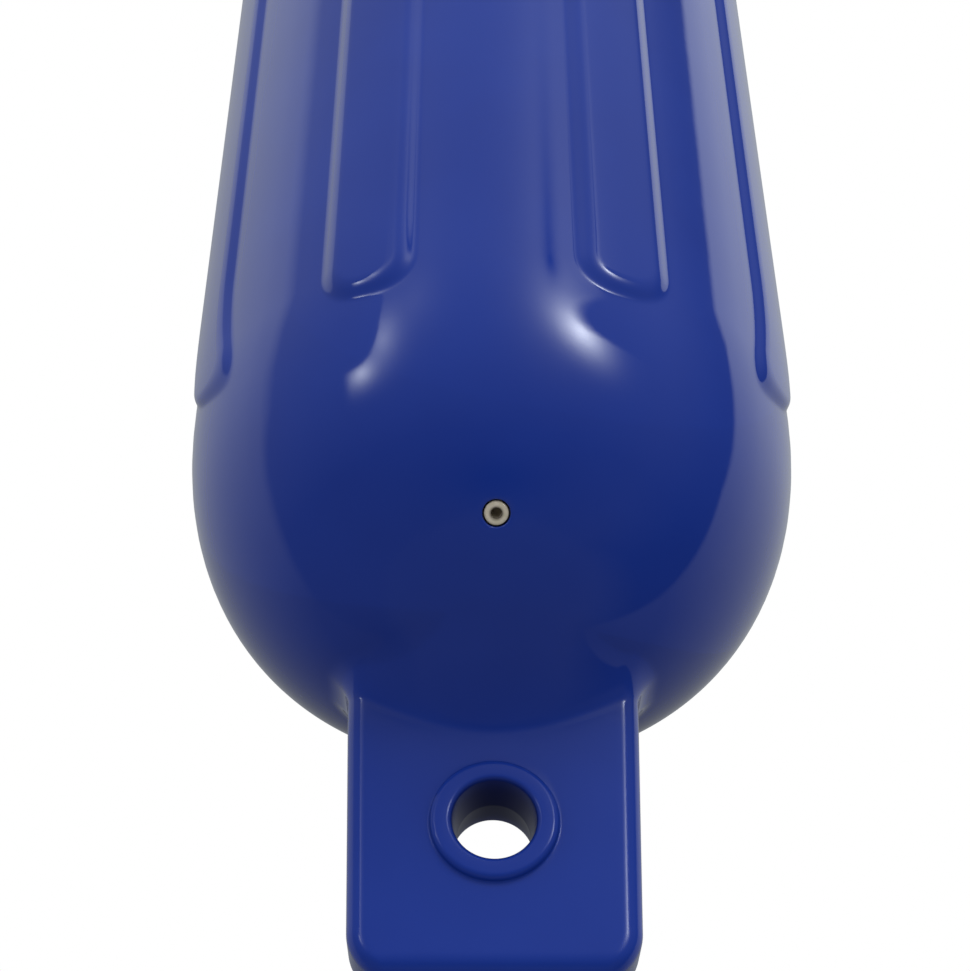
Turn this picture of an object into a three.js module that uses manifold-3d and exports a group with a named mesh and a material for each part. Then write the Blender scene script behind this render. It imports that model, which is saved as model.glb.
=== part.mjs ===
// A ribbed twin-eye boat fender: one soft vinyl moulding, inflated through a small needle valve.
// Millimetres, +Z up the fender's axis, with the origin midway between its two eyes.
// The end that holds the valve hangs down, the valve faces -Y, and both lugs lie flat across Y.

import * as THREE from 'three';
import { mergeVertices } from 'three/addons/utils/BufferGeometryUtils.js';
import Module from 'manifold-3d';

const wasm = await Module();
wasm.setup();

// The round body
const GROOVE_RADIUS = 68.4; // from the axis to the skin between the ribs
const STRAIGHT_LENGTH = 256; // from the plane where one dome begins to the other
const DOME_DEPTH = 67.3; // from that plane to the dome's pole
const DOME_SHOULDER_POWER = 2.66; // 2 would be an ellipse, and more makes fuller shoulders
const DOME_POLE_POWER = 2.18; // 2 would be an ellipse, and more flattens the pole

// The ribs along the body
const FACE_RIB_ANGLE = 22.5; // degrees round the axis, from the middle of the front or the back
const SIDE_RIB_ANGLE = 66.9;
const FACE_RIB_WIDTH = 21; // at the foot of its walls, along the skin
const SIDE_RIB_WIDTH = 23.5;
const RIB_HEIGHT = 1.8;
const RIB_WALL_RUN = 3.2; // how far a wall leans in from its foot to the rib's top
const RIB_TIP_HEIGHT = 1.2; // what is left of its height at its two ends
const RIB_TAPER_LENGTH = 20; // how much of the rib's length its height falls over, at each end
const FACE_RIB_OVERRUN = 8.3; // how far its rounded end reaches past the start of the dome
const SIDE_RIB_OVERRUN = 9.6;
const RIB_END_DEPTH = 9.5; // how much of the rib's length its rounded end takes
const RIB_END_POWER = 2.35; // 2 would be an ellipse, and more squares the end's corners
const SIDE_RIB_LEAN = 5; // degrees that its two ends curve over, towards the front or the back
const SIDE_RIB_LEAN_LENGTH = 30; // how much of the rib's length curves, at each end
const SIDE_RIB_SLANT = 4; // how its rounded end is drawn out on the side that it leans to

// The lugs
const LUG_LENGTH = 59.7; // from the dome's pole to the lug's end
const LUG_ROOT_WIDTH = 60.2; // at the dome's pole
const LUG_END_WIDTH = 55.7;
const LUG_THICKNESS = 16;
const LUG_EDGE_RADIUS = 4; // the long edges and the edges round the end
const LUG_CORNER_RADIUS = 9; // the end's two corners, seen square to the lug
const LUG_ROOT_FILLET = 5; // where the lug runs out into the dome

// The eye through each lug
const EYE_FROM_POLE = 29; // from the dome's pole to the eye's centre
const EYE_WAIST_RADIUS = 7.3; // halfway through, where the mould's two cores meet
const EYE_MOUTH_RADIUS = 8.3; // where the bore's straight wall ends and its lip begins
const EYE_LIP_RADIUS = 1.2; // the round between the bore and the rim's flat
const EYE_RIM_WIDTH = 3.2; // from the lip's outer edge to the foot of the rim
const EYE_RIM_HEIGHT = 1.75; // how far the rim stands above the lug
const EYE_RIM_RADIUS = 1.3; // the round on the rim's outer edge

// The valve in the lower dome
const VALVE_ABOVE_POLE = 15.1; // along the axis
const VALVE_RADIUS = 2.4;
const VALVE_LENGTH = 9;
const VALVE_FLANGE_RADIUS = 3.8; // the collar that holds it behind the skin
const VALVE_FLANGE_THICKNESS = 1.6;
const VALVE_FLANGE_DEPTH = 3.6; // from its face to the collar
const VALVE_EDGE_RADIUS = 0.5;
const VALVE_RECESS = 0.2; // how far its face lies under the skin
const VALVE_CLEARANCE = 0.3; // all round it in its seat
const NEEDLE_HOLE_RADIUS = 1.05;
const NEEDLE_HOLE_DEPTH = 6;

// How finely curved surfaces are faceted
const BODY_FACETS = 72;
const DOME_STEPS = 12;
const EYE_FACETS = 36;
const VALVE_FACETS = 24;
const ARC_STEPS = 3; // along each small round

const VINYL_BLUE = 0x1b3590;
const VALVE_CREAM = 0xd8cba4;

const vinyl = new THREE.MeshStandardMaterial({ color: VINYL_BLUE, roughness: 0.22, metalness: 0 });
const valveRubber = new THREE.MeshStandardMaterial({ color: VALVE_CREAM, roughness: 0.55, metalness: 0 });

const DOME_START = STRAIGHT_LENGTH / 2;
const POLE = DOME_START + DOME_DEPTH;
const EYE_HEIGHT = POLE + EYE_FROM_POLE;
const LUG_END = POLE + LUG_LENGTH;

// A closed solid from a geometry whose coincident corners are one, with its faces turned outward.
function solidFrom(geometry) {
  const bare = geometry.clone();
  bare.deleteAttribute('normal');
  bare.deleteAttribute('uv');
  const merged = mergeVertices(bare, 1e-4);
  const corners = [];
  for (let i = 0; i < merged.index.count; i += 3) {
    const [a, b, c] = merged.index.array.subarray(i, i + 3);
    if (a !== b && b !== c && c !== a) corners.push(a, b, c);
  }
  return new wasm.Manifold(new wasm.Mesh({
    numProp: 3,
    vertProperties: new Float32Array(merged.attributes.position.array),
    triVerts: new Uint32Array(corners),
  }));
}

function geometryFrom(solid) {
  const mesh = solid.getMesh();
  const geometry = new THREE.BufferGeometry();
  geometry.setAttribute('position', new THREE.BufferAttribute(mesh.vertProperties, mesh.numProp));
  geometry.setIndex(new THREE.BufferAttribute(mesh.triVerts, 1));
  const flat = geometry.toNonIndexed();
  flat.computeVertexNormals();
  return flat;
}

// Skins closed loops of points, stacked upward and each anticlockwise from above. Both ends are capped,
// unless the first and last loops are themselves drawn together into a line.
function loft(loops, capped = true) {
  const around = loops[0].length;
  const points = loops.flat();
  const index = [];
  for (let row = 0; row < loops.length - 1; row += 1) {
    for (let k = 0; k < around; k += 1) {
      const here = row * around + k;
      const next = row * around + ((k + 1) % around);
      index.push(here, next, next + around, here, next + around, here + around);
    }
  }
  const ends = [[loops[0], 0, true], [loops.at(-1), (loops.length - 1) * around, false]];
  for (const [loop, first, below] of capped ? ends : []) {
    const middle = points.length;
    points.push(loop.reduce((sum, p) => sum.add(p), new THREE.Vector3()).divideScalar(around));
    for (let k = 0; k < around; k += 1) {
      const here = first + k;
      const next = first + ((k + 1) % around);
      index.push(middle, below ? next : here, below ? here : next);
    }
  }
  return new THREE.BufferGeometry().setFromPoints(points).setIndex(index);
}

// Points along a quarter of a circle or less, about a centre, from one angle to another.
function arc(centreX, centreY, radius, from, to, steps = ARC_STEPS) {
  return Array.from({ length: steps + 1 }, (_, k) => {
    const angle = from + ((to - from) * k) / steps;
    return new THREE.Vector2(centreX + radius * Math.cos(angle), centreY + radius * Math.sin(angle));
  });
}

// The dome is a superellipse turned about the axis: how far out it is at a height past its start,
// and how high it is at a distance from the axis.
function domeRadius(height) {
  const share = Math.min(height / DOME_DEPTH, 1);
  const angle = Math.asin(share ** (DOME_POLE_POWER / 2));
  return GROOVE_RADIUS * Math.cos(angle) ** (2 / DOME_SHOULDER_POWER);
}

function domeHeight(radius) {
  const share = Math.min(radius / GROOVE_RADIUS, 1);
  const angle = Math.acos(share ** (DOME_SHOULDER_POWER / 2));
  return DOME_DEPTH * Math.sin(angle) ** (2 / DOME_POLE_POWER);
}

function skinRadius(z) {
  const past = Math.abs(z) - DOME_START;
  return past > 0 ? domeRadius(past) : GROOVE_RADIUS;
}

// The plain body: both domes and the straight part between them, turned about the axis.
function makeBarrel() {
  const upperHalf = Array.from({ length: DOME_STEPS + 1 }, (_, k) => {
    const angle = (Math.PI / 2) * (k / DOME_STEPS);
    const out = GROOVE_RADIUS * Math.cos(angle) ** (2 / DOME_SHOULDER_POWER);
    const along = DOME_DEPTH * Math.sin(angle) ** (2 / DOME_POLE_POWER);
    return new THREE.Vector2(k === DOME_STEPS ? 0 : out, DOME_START + along);
  });
  const lowerHalf = upperHalf.map((p) => new THREE.Vector2(p.x, -p.y)).reverse();
  return new THREE.LatheGeometry([...lowerHalf, ...upperHalf], BODY_FACETS).rotateX(Math.PI / 2);
}

// One rib, centred on +X: sections across it, stacked along it and narrowing round its two ends.
// A wall goes straight up out of the skin at its foot, and then leans in and rounds over to the top.
// The lean, in degrees, turns its two ends round the axis.
function makeRib(width, overrun, lean) {
  const root = 2;
  const wall = [[0, -root], [0, 0], [0.5, 0.7], [1, 1]];
  const acrossTop = 3;
  const tip = DOME_START + overrun;
  const shoulder = tip - RIB_END_DEPTH;
  const nearTip = (z, length) => THREE.MathUtils.clamp(1 - (tip - Math.abs(z)) / length, 0, 1);
  const heightAt = (z) => {
    return THREE.MathUtils.lerp(RIB_HEIGHT, RIB_TIP_HEIGHT, nearTip(z, RIB_TAPER_LENGTH) ** 2);
  };
  const endSteps = 6;
  const taperBack = Math.max(RIB_TAPER_LENGTH - RIB_END_DEPTH, 1);
  const leanBack = Math.max(SIDE_RIB_LEAN_LENGTH - RIB_END_DEPTH, taperBack + 1);
  const halfStations = [[0, leanBack], [0, taperBack], [0, taperBack / 2]];
  for (let k = 0; k <= endSteps; k += 1) halfStations.push([(Math.PI / 2) * (k / endSteps), 0]);
  const upper = halfStations.map(([turn, back]) => [1, turn, back]);
  const lower = halfStations.map(([turn, back]) => [-1, turn, back]).reverse();

  return loft([...lower, ...upper].map(([end, turn, back]) => {
    const along = Math.sin(turn) ** (2 / RIB_END_POWER);
    const across = turn < Math.PI / 2 ? Math.cos(turn) ** (2 / RIB_END_POWER) : 0;
    const pointAt = (inset, rise, side) => {
      const slanted = side * Math.sign(lean) * SIDE_RIB_SLANT * across * along;
      const z = end * (shoulder - back + (RIB_END_DEPTH - inset) * along + slanted);
      const out = skinRadius(z) + (rise > 0 ? rise * heightAt(z) : rise);
      const turned = THREE.MathUtils.degToRad(lean) * nearTip(z, SIDE_RIB_LEAN_LENGTH) ** 2;
      const angle = (side * (width / 2 - inset) * across) / GROOVE_RADIUS + turned;
      return new THREE.Vector3(out * Math.cos(angle), out * Math.sin(angle), z);
    };
    const wallOn = (side) => wall.map(([lean, rise]) => {
      return pointAt(lean * RIB_WALL_RUN, rise, side);
    });
    const top = Array.from({ length: acrossTop - 1 }, (_, k) => {
      return pointAt(RIB_WALL_RUN, 1, (2 * (k + 1)) / acrossTop - 1);
    });
    return [...wallOn(-1), ...top, ...wallOn(1).reverse()];
  }), false);
}

// The outline of a lug's section: a round-cornered oblong, with points spread along its long sides.
// Each point comes with the direction in which the outline faces there.
function lugOutline(halfWidth, halfThickness, edgeRadius) {
  const acrossFace = 8;
  const acrossEdge = 2;
  const outline = [];
  const corners = [[1, -1], [1, 1], [-1, 1], [-1, -1]];
  corners.forEach(([sideX, sideY], quarter) => {
    const centreX = sideX * (halfWidth - edgeRadius);
    const centreY = sideY * (halfThickness - edgeRadius);
    const from = (quarter - 1) * (Math.PI / 2);
    for (let k = 0; k <= ARC_STEPS; k += 1) {
      const angle = from + (Math.PI / 2) * (k / ARC_STEPS);
      const facing = new THREE.Vector2(Math.cos(angle), Math.sin(angle));
      outline.push({ x: centreX + edgeRadius * facing.x, y: centreY + edgeRadius * facing.y, facing });
    }
    const last = outline.at(-1);
    const flatLength = 2 * (quarter % 2 ? halfWidth : halfThickness) - 2 * edgeRadius;
    const pieces = quarter % 2 ? acrossFace : acrossEdge;
    for (let k = 1; k < pieces; k += 1) {
      const step = (flatLength * k) / pieces;
      outline.push({ x: last.x - last.facing.y * step, y: last.y + last.facing.x * step, facing: last.facing });
    }
  });
  return outline;
}

function lugHalfWidth(fromPole) {
  return THREE.MathUtils.lerp(LUG_ROOT_WIDTH, LUG_END_WIDTH, fromPole / LUG_LENGTH) / 2;
}

// How far a round of the given radius draws a side in, at a distance from the end that it leads to.
function drawnIn(radius, fromEnd) {
  const left = Math.max(radius - fromEnd, 0);
  return radius - Math.sqrt(radius ** 2 - left ** 2);
}

// The upper lug: a flat tongue whose end is rounded off, and whose root spreads out into the dome.
function makeLug() {
  const sunk = 0.3; // the root's round runs this far under the skin, so that it meets it cleanly
  const rootSteps = 3;
  const endSteps = 6;
  const rootOutline = lugOutline(lugHalfWidth(0), LUG_THICKNESS / 2, LUG_EDGE_RADIUS);

  const rootLoops = Array.from({ length: rootSteps + 1 }, (_, k) => rootOutline.map(({ x, y, facing }) => {
    const skin = domeHeight(Math.hypot(x, y));
    const reach = LUG_ROOT_FILLET;
    const skinFurtherOut = domeHeight(Math.hypot(x + facing.x * reach, y + facing.y * reach));
    const slope = Math.atan2(skin - skinFurtherOut, reach);
    const centre = skin - sunk - reach * Math.tan(slope) + reach / Math.cos(slope);
    const turn = (Math.PI / 2 - slope) * (1 - k / rootSteps);
    const spread = reach * (1 - Math.cos(turn));
    const z = DOME_START + centre - reach * Math.sin(turn);
    return new THREE.Vector3(x + facing.x * spread, y + facing.y * spread, z);
  }));
  const buried = rootLoops[0].map((p) => new THREE.Vector3(p.x, p.y, p.z - LUG_ROOT_FILLET));

  const flatEdge = 0.3; // what the end's round leaves of the section's own corners
  const fromEnds = Array.from({ length: endSteps + 1 }, (_, k) => {
    const turn = (Math.PI / 2) * (k / endSteps);
    return LUG_CORNER_RADIUS * (1 - Math.sin(turn));
  });
  const endLoops = fromEnds.map((fromEnd) => {
    const thin = drawnIn(LUG_EDGE_RADIUS, fromEnd);
    const halfWidth = lugHalfWidth(LUG_LENGTH - fromEnd) - drawnIn(LUG_CORNER_RADIUS, fromEnd);
    const edgeRadius = Math.max(LUG_EDGE_RADIUS - thin, flatEdge);
    return lugOutline(halfWidth, LUG_THICKNESS / 2 - thin, edgeRadius)
      .map(({ x, y }) => new THREE.Vector3(x, y, LUG_END - fromEnd));
  });
  return loft([buried, ...rootLoops, ...endLoops]);
}

// The raised rim round an eye, as a disc through the lug, turned about the eye's own axis.
function makeRim() {
  const top = LUG_THICKNESS / 2 + EYE_RIM_HEIGHT;
  const foot = EYE_MOUTH_RADIUS + EYE_LIP_RADIUS + EYE_RIM_WIDTH;
  const side = arc(foot - EYE_RIM_RADIUS, top - EYE_RIM_RADIUS, EYE_RIM_RADIUS, 0, Math.PI / 2);
  const upper = [new THREE.Vector2(foot, 0), ...side, new THREE.Vector2(0, top)];
  const lower = upper.slice(1).map((p) => new THREE.Vector2(p.x, -p.y)).reverse();
  return new THREE.LatheGeometry([...lower, ...upper], EYE_FACETS);
}

// What the eye takes away: two cores that narrow towards each other, each with a lip at its mouth.
function makeEyeCore() {
  const top = LUG_THICKNESS / 2 + EYE_RIM_HEIGHT;
  const mouth = top - EYE_LIP_RADIUS;
  const lipCentre = EYE_MOUTH_RADIUS + EYE_LIP_RADIUS;
  const lip = arc(lipCentre, mouth, EYE_LIP_RADIUS, Math.PI, Math.PI / 2);
  const beyond = LUG_THICKNESS;
  const upper = [...lip, new THREE.Vector2(lipCentre, beyond), new THREE.Vector2(0, beyond)];
  const lower = upper.map((p) => new THREE.Vector2(p.x, -p.y)).reverse();
  const waist = new THREE.Vector2(EYE_WAIST_RADIUS, 0);
  return new THREE.LatheGeometry([...lower, waist, ...upper], EYE_FACETS);
}

// The valve's outline from its blind inner end to its face, with a clearance for its seat in the skin.
// The face is at 0, and the seat is cut on past it.
function valveOutline(clearance, faceHeight) {
  const stem = VALVE_RADIUS + clearance;
  const collar = VALVE_FLANGE_RADIUS + clearance;
  const collarTop = -VALVE_FLANGE_DEPTH + clearance;
  const collarFoot = -VALVE_FLANGE_DEPTH - VALVE_FLANGE_THICKNESS - clearance;
  const bottom = -VALVE_LENGTH - clearance;
  return [
    [0, bottom], [stem, bottom], [stem, collarFoot], [collar, collarFoot], [collar, collarTop],
    [stem, collarTop], [stem, faceHeight],
  ].map(([out, along]) => new THREE.Vector2(out, along));
}

function makeValve() {
  const outside = valveOutline(0, -VALVE_EDGE_RADIUS);
  const edge = arc(VALVE_RADIUS - VALVE_EDGE_RADIUS, -VALVE_EDGE_RADIUS, VALVE_EDGE_RADIUS, 0, Math.PI / 2);
  const hole = [
    new THREE.Vector2(NEEDLE_HOLE_RADIUS, 0),
    new THREE.Vector2(NEEDLE_HOLE_RADIUS, -NEEDLE_HOLE_DEPTH),
    new THREE.Vector2(0, -NEEDLE_HOLE_DEPTH),
  ];
  return new THREE.LatheGeometry([...outside.slice(0, -1), ...edge, ...hole], VALVE_FACETS);
}

function makeValveSeat() {
  const beyond = VALVE_LENGTH;
  const outline = [...valveOutline(VALVE_CLEARANCE, beyond), new THREE.Vector2(0, beyond)];
  return new THREE.LatheGeometry(outline, VALVE_FACETS);
}

// Where the valve sits: on the front of the lower dome, with its axis square to the skin.
function valvePlace() {
  const near = 0.01;
  const drop = DOME_DEPTH - VALVE_ABOVE_POLE;
  const drawIn = domeRadius(drop + near) - domeRadius(drop - near);
  const facing = new THREE.Vector3(0, -2 * near, drawIn).normalize();
  const skin = new THREE.Vector3(0, -domeRadius(drop), -DOME_START - drop);
  const position = skin.addScaledVector(facing, -VALVE_RECESS);
  const turn = new THREE.Quaternion().setFromUnitVectors(new THREE.Vector3(0, 1, 0), facing);
  return new THREE.Matrix4().compose(position, turn, new THREE.Vector3(1, 1, 1));
}

function makeBody() {
  let body = solidFrom(makeBarrel());
  for (const halfTurn of [0, Math.PI]) {
    for (const side of [-1, 1]) {
      const faceTurn = side * THREE.MathUtils.degToRad(90 - FACE_RIB_ANGLE);
      const sideTurn = side * THREE.MathUtils.degToRad(90 - SIDE_RIB_ANGLE);
      const faceRib = makeRib(FACE_RIB_WIDTH, FACE_RIB_OVERRUN, 0);
      const sideRib = makeRib(SIDE_RIB_WIDTH, SIDE_RIB_OVERRUN, side * SIDE_RIB_LEAN);
      body = body.add(solidFrom(faceRib.rotateZ(faceTurn + halfTurn)));
      body = body.add(solidFrom(sideRib.rotateZ(sideTurn + halfTurn)));
    }
    body = body.add(solidFrom(makeLug().rotateX(halfTurn)));
  }
  for (const height of [EYE_HEIGHT, -EYE_HEIGHT]) {
    body = body.add(solidFrom(makeRim().translate(0, 0, height)));
    body = body.subtract(solidFrom(makeEyeCore().translate(0, 0, height)));
  }
  body = body.subtract(solidFrom(makeValveSeat().applyMatrix4(valvePlace())));
  return geometryFrom(body);
}

const fender = new THREE.Group();

const body = new THREE.Mesh(makeBody(), vinyl);
body.name = 'fender_body';
fender.add(body);

const valve = new THREE.Mesh(makeValve(), valveRubber);
valve.name = 'needle_valve';
valve.applyMatrix4(valvePlace());
fender.add(valve);

export default fender;
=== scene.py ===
import bpy
import bmesh
import numpy as np
from math import asin, cos, pi, radians, sin
from mathutils import Matrix, Vector


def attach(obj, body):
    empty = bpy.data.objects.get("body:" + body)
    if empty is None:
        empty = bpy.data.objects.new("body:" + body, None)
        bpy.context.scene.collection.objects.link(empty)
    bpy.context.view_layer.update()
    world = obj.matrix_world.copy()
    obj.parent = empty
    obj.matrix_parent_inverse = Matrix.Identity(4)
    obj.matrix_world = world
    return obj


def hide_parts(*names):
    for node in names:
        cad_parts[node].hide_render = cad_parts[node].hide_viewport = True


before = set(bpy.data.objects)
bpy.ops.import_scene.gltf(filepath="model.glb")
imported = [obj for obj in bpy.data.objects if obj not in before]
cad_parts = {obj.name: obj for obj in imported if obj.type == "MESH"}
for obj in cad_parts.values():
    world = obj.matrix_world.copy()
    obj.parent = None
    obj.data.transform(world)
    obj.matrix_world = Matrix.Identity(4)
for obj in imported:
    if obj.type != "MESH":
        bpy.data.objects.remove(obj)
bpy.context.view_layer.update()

# The fender's skin: one hollow moulding of soft, glossy royal-blue vinyl. It has a round body with
# eight raised ribs, two domes and a flat lug with a rimmed rope eye at each end, and air inside it.
# Sizes are in millimetres. A height is measured down from the fender's middle, or up for the upper end.
MM = 0.001
WELD = 2e-6
GROOVE_RADIUS = 68.4
DOME_START = 128.0
DOME_DEPTH = 67.3
SHOULDER_POWER = 2.66
POLE_POWER = 2.18
RIB_ANGLES = (23.1, 67.5, 112.5, 156.9, 203.1, 247.5, 292.5, 336.9)
RIB_HEIGHT = 1.8
RIB_TIP_HEIGHT = 1.2
RIB_TAPER = 20.0
RIB_WIDTH = 21.0
RIB_WALL = 3.2
RIB_TIP = DOME_START + 8.3
RIB_END = 9.5
RIB_END_POWER = 2.35
SIDE_RIB_REACH = 1.3
SIDE_RIB_SPREAD = 1.25
SIDE_RIB_SLANT = 4.0
SIDE_RIB_LEAN = 5.0
SIDE_RIB_LEAN_LENGTH = 30.0
SIDE_RIB_SLANT_REACH = 0.56
RIB_FOOT_ROUND, RIB_BROW_ROUND = 0.22, 0.45


def dome_radius(height):
    share = np.clip((height - DOME_START) / DOME_DEPTH, 0, 1)
    angle = np.arcsin(share ** (POLE_POWER / 2))
    return GROOVE_RADIUS * np.cos(angle) ** (2 / SHOULDER_POWER)


def dome_angle(radius):
    return np.arccos(np.clip(radius / GROOVE_RADIUS, 0, 1) ** (SHOULDER_POWER / 2))


def dome_drop(radius):
    return DOME_START + DOME_DEPTH * np.sin(dome_angle(radius)) ** (2 / POLE_POWER)


def rib_stand(height):
    share = np.clip(1 - (RIB_TIP - height) / RIB_TAPER, 0, 1)
    return RIB_HEIGHT + (RIB_TIP_HEIGHT - RIB_HEIGHT) * share ** 2


def rib_rise(inward):
    # How much of its height a rib has at a distance in from its foot, with both corners rounded over.
    foot, brow = RIB_FOOT_ROUND, RIB_BROW_ROUND
    along = inward / RIB_WALL
    up = np.where(along < -foot, 0, np.where(along > foot, along, (along + foot) ** 2 / (4 * foot)))
    left = 1 - up
    short = np.where(left < -brow, 0, np.where(left > brow, left, (left + brow) ** 2 / (4 * brow)))
    return 1 - short


def on_body(rib, across, height, rise):
    # A point near one rib. A side rib is wider than the others and reaches a little lower. Its ends lean
    # over and slant, towards the front or the back. All this fades away across the groove on each side.
    across, height = np.broadcast_arrays(across, height)
    middle = radians(RIB_ANGLES[rib])
    at_side = rib % 4 in (0, 3)
    half_gap = np.where(across < 0, gap_before[rib], gap_after[rib]) * GROOVE_RADIUS / 2
    near = np.clip((half_gap - np.abs(across)) / (half_gap - MARGIN), 0, 1) * at_side
    way = 1 if rib in (0, 4) else -1
    outward = np.clip(np.abs(across) / (RIB_WIDTH / 2), 0, 1)
    outward = outward * np.clip((height - SHOULDER) / RIB_END, 0, 1)
    slant = SIDE_RIB_SLANT * np.sign(across * way) * np.minimum(outward, SIDE_RIB_SLANT_REACH)
    reach = SIDE_RIB_REACH * np.interp(height, [SHOULDER - 12, SHOULDER], [0, 1]) + slant
    lean = radians(SIDE_RIB_LEAN) * way
    over = np.clip(1 - (RIB_TIP - height) / SIDE_RIB_LEAN_LENGTH, 0, 1) ** 2
    level = height + reach * near * np.interp(height, [RIB_TIP + 1, TAIL], [1, 0])
    out = dome_radius(level) + rise * rib_stand(height)
    wider = np.clip(np.abs(across) / (RIB_WIDTH / 2 - RIB_WALL * 1.5), 0, 1)
    wider = np.sign(across) * SIDE_RIB_SPREAD * wider
    turn = middle + (across + wider * near) / GROOVE_RADIUS + lean * over * near
    return np.stack([out * np.cos(turn), out * np.sin(turn), -level], axis=-1)


def between(start, end, steps):
    share = np.linspace(0, 1, steps + 1)
    share = share.reshape((-1,) + (1,) * np.ndim(start))
    return start + (np.asarray(end) - start) * share


# Each patch of skin is a grid of points. The patches share their edge points and are welded at the end.
WALL_STEPS = RIB_WALL * np.array([-0.24, -0.12, 0, 0.12, 0.24, 0.38, 0.5, 0.62, 0.74, 0.88,
                                  1.02, 1.18, 1.34, 1.48])
MARGIN_STEPS, TOP_STEPS, SIDE_ROWS, TAIL_ROWS = 3, 10, 12, 5
SIDE_TURN = radians(52)
LEAD_IN = 24.0
MARGIN = RIB_WIDTH / 2 + 4.0
TAIL = RIB_TIP + 7.5
SHOULDER = RIB_TIP - RIB_END
gap_after = [radians((b - a) % 360) for a, b in zip(RIB_ANGLES, RIB_ANGLES[1:] + RIB_ANGLES[:1])]
gap_before = gap_after[-1:] + gap_after[:-1]

# The rib's outline, from its side round its end, and the same outline drawn in for each step up its wall
turns = np.concatenate([np.linspace(0, SIDE_TURN, SIDE_ROWS + 1),
                        np.linspace(SIDE_TURN, pi / 2, TOP_STEPS // 2 + 1)[1:]])
ring_turn = np.concatenate([turns, turns[-2::-1]])
ring_side = np.concatenate([-np.ones(len(turns)), np.ones(len(turns) - 1)])
ring_across = RIB_WIDTH / 2 - WALL_STEPS[:, None]
ring_across = ring_side * ring_across * np.cos(ring_turn) ** (2 / RIB_END_POWER)
ring_height = SHOULDER + (RIB_END - WALL_STEPS[:, None]) * np.sin(ring_turn) ** (2 / RIB_END_POWER)
ring_across[:, len(turns) - 1] = 0

straight_rows = np.concatenate([np.linspace(0, SHOULDER - LEAD_IN, 9),
                                np.linspace(SHOULDER - LEAD_IN, SHOULDER, 13)[1:]])
corner_across = ring_across[0, SIDE_ROWS]
corner_height = ring_height[0, SIDE_ROWS]
side_rows = np.linspace(SHOULDER, corner_height, SIDE_ROWS + 1)
tail_rows = np.linspace(corner_height, TAIL, TAIL_ROWS + 1)
tail_half = -corner_across + 0.6

patches = []
column_turns = []
for rib in range(8):
    grooves = []
    for edge, side, gap in ((rib, -1, gap_before[rib]), (rib + 1, 1, gap_after[rib])):
        # The columns in the middle of the front and the back are closer, for the eyes and the valve.
        steps = 8 if edge % 4 == 2 else 4
        groove = side * np.linspace(MARGIN, gap * GROOVE_RADIUS / 2, steps + 1)
        margin = side * np.linspace(RIB_WIDTH / 2 - WALL_STEPS[0], MARGIN, MARGIN_STEPS + 1)
        wall = side * (RIB_WIDTH / 2 - WALL_STEPS)
        grooves.append(groove)
        rows = np.concatenate([straight_rows, side_rows[1:], tail_rows[1:]])
        patches.append(on_body(rib, groove[None, :], rows[:, None], 0))
        patches.append(on_body(rib, margin[None, :], straight_rows[:, None], 0))
        rise = rib_rise(WALL_STEPS)
        patches.append(on_body(rib, wall[None, :], straight_rows[:, None], rise[None, :]))
        rim_across, rim_height = -ring_across[0, :SIDE_ROWS + 1], ring_height[0, :SIDE_ROWS + 1]
        beside = side * between(rim_across, np.full(SIDE_ROWS + 1, MARGIN), MARGIN_STEPS)
        patches.append(on_body(rib, beside, between(rim_height, side_rows, MARGIN_STEPS), 0))
        top_edge = between(np.array([MARGIN, corner_height]),
                           np.array([-corner_across, corner_height]), MARGIN_STEPS)
        low_edge = between(np.array([MARGIN, TAIL]), np.array([tail_half, TAIL]), MARGIN_STEPS)
        corner = between(top_edge, low_edge, TAIL_ROWS)
        patches.append(on_body(rib, side * corner[..., 0], corner[..., 1], 0))
    top = np.linspace(-1, 1, TOP_STEPS + 1) * (RIB_WIDTH / 2 - WALL_STEPS[-1])
    patches.append(on_body(rib, top[None, :], straight_rows[:, None], 1))
    patches.append(on_body(rib, ring_across, ring_height, rib_rise(WALL_STEPS)[:, None]))

    # The rib's flat top end is filled in from its four edges.
    inner = np.stack([ring_across[-1], ring_height[-1]], axis=-1)
    left, right = inner[:SIDE_ROWS + 1], inner[:-SIDE_ROWS - 2:-1]
    low = inner[SIDE_ROWS:SIDE_ROWS + TOP_STEPS + 1]
    high = np.stack([top, np.full(TOP_STEPS + 1, SHOULDER)], axis=-1)
    a = np.linspace(0, 1, SIDE_ROWS + 1)[:, None, None]
    b = np.linspace(0, 1, TOP_STEPS + 1)[None, :, None]
    flat = ((1 - a) * high[None] + a * low[None] + (1 - b) * left[:, None] + b * right[:, None]
            - (1 - a) * (1 - b) * high[0] - (1 - a) * b * high[-1]
            - a * (1 - b) * low[0] - a * b * low[-1])
    patches.append(on_body(rib, flat[..., 0], flat[..., 1], 1))

    rim = np.stack([ring_across[0], ring_height[0]], axis=-1)
    foot = np.stack([np.linspace(-tail_half, tail_half, TOP_STEPS + 1),
                     np.full(TOP_STEPS + 1, TAIL)], axis=-1)
    tail = between(rim[SIDE_ROWS:SIDE_ROWS + TOP_STEPS + 1], foot, TAIL_ROWS)
    patches.append(on_body(rib, tail[..., 0], tail[..., 1], 0))

    row = np.concatenate([grooves[0][::-1],
                          np.linspace(-MARGIN, -tail_half, MARGIN_STEPS + 1)[1:],
                          foot[1:, 0],
                          np.linspace(tail_half, MARGIN, MARGIN_STEPS + 1)[1:],
                          grooves[1][1:]])
    ends = on_body(rib, row[:-1], TAIL, 0)
    column_turns.append(np.arctan2(ends[:, 1], ends[:, 0]))
column_turns = np.concatenate(column_turns)
COLUMNS = len(column_turns)
QUARTER = COLUMNS // 4
FRONT, BACK = 3 * QUARTER, QUARTER

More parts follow.
